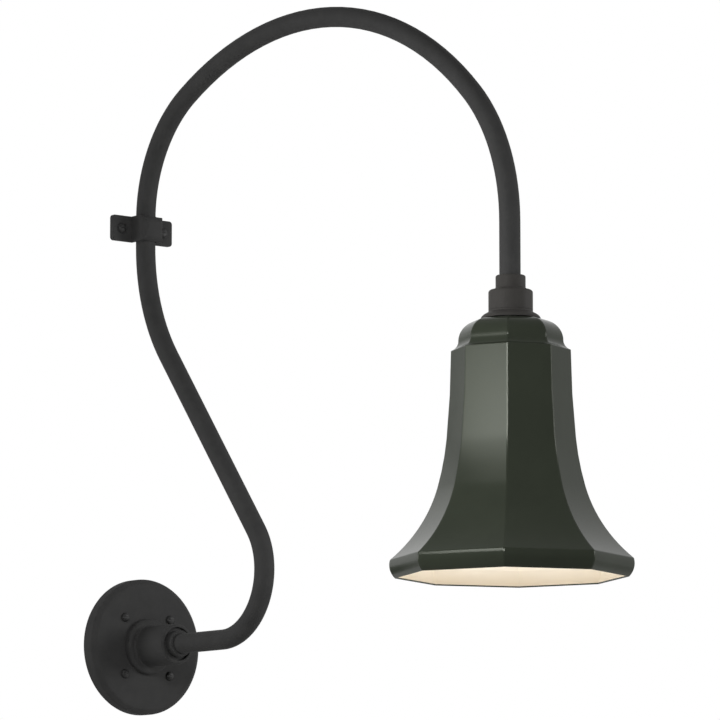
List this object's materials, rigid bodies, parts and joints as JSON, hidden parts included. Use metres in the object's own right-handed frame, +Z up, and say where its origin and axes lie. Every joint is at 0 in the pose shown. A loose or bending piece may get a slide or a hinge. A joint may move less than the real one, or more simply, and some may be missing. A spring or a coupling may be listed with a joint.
{
  "type": "gooseneck barn light",
  "caption": "Wall light on a bent gooseneck arm: round wall plate, pipe strap, and a flared eight-sided bell shade over a screw-shell lampholder.",
  "frame": {"origin": "centre of the wall plate's back, on the wall plane", "axes": "+Z up, +Y into the wall, the light projects along -Y"},
  "size_m": [0.2436, 0.7438, 0.729],
  "materials": {
    "arm_black": "satin black powder coat",
    "screw_black": "black coated slotted screws",
    "bronze_black": "warm bronze-black paint",
    "shade_enamel": "gloss dark green enamel outside, cream enamel inside",
    "rubber": "plain black rubber",
    "zinc_steel": "bright zinc plate",
    "spring_steel": "spring steel wire and clip",
    "terminal_silver": "tinned brass neutral terminal",
    "brass": "plain brass",
    "porcelain": "opaque glazed porcelain",
    "lead_black": "black wire insulation",
    "lead_white": "white wire insulation",
    "connector": "orange twist-on connectors",
    "ground_green": "green ground screw"
  },
  "bodies": {
    "light": {"plate_gasket": "rubber", "mounting_ring": "zinc_steel", "ground_screw": "ground_green", "wall_plate": "arm_black", "plate_screws": "screw_black", "arm_hub": "arm_black", "hub_locknut": "zinc_steel", "gooseneck_arm": "arm_black", "clamp_strap": "arm_black", "clamp_screws": "screw_black", "socket_cap": "bronze_black", "shade_collar": "bronze_black", "arm_bushing": "zinc_steel", "fitter_nipple": "zinc_steel", "shade_gasket": "rubber", "shade_washer": "zinc_steel", "shade_locknut": "zinc_steel", "shade": "shade_enamel", "socket_top": "porcelain", "lamp_socket": "porcelain", "socket_screws": "zinc_steel", "screw_shell": "brass", "contact_spring": "spring_steel", "hot_terminal": "brass", "neutral_terminal": "terminal_silver", "terminal_screws": "brass", "hot_lead": "lead_black", "neutral_lead": "lead_white", "wire_connectors": "connector"},
    "contact": {"centre_contact": "brass", "contact_clip": "spring_steel"}
  },
  "joints": [
    {"name": "contact_slide", "type": "slide", "parent": "light", "child": "contact", "axis": [0, 0, 1], "range_m": [0, 0.0025], "stiffness_N_per_m": 800, "springref_m": -0.001, "deforming": ["contact_spring"]}
  ]
}
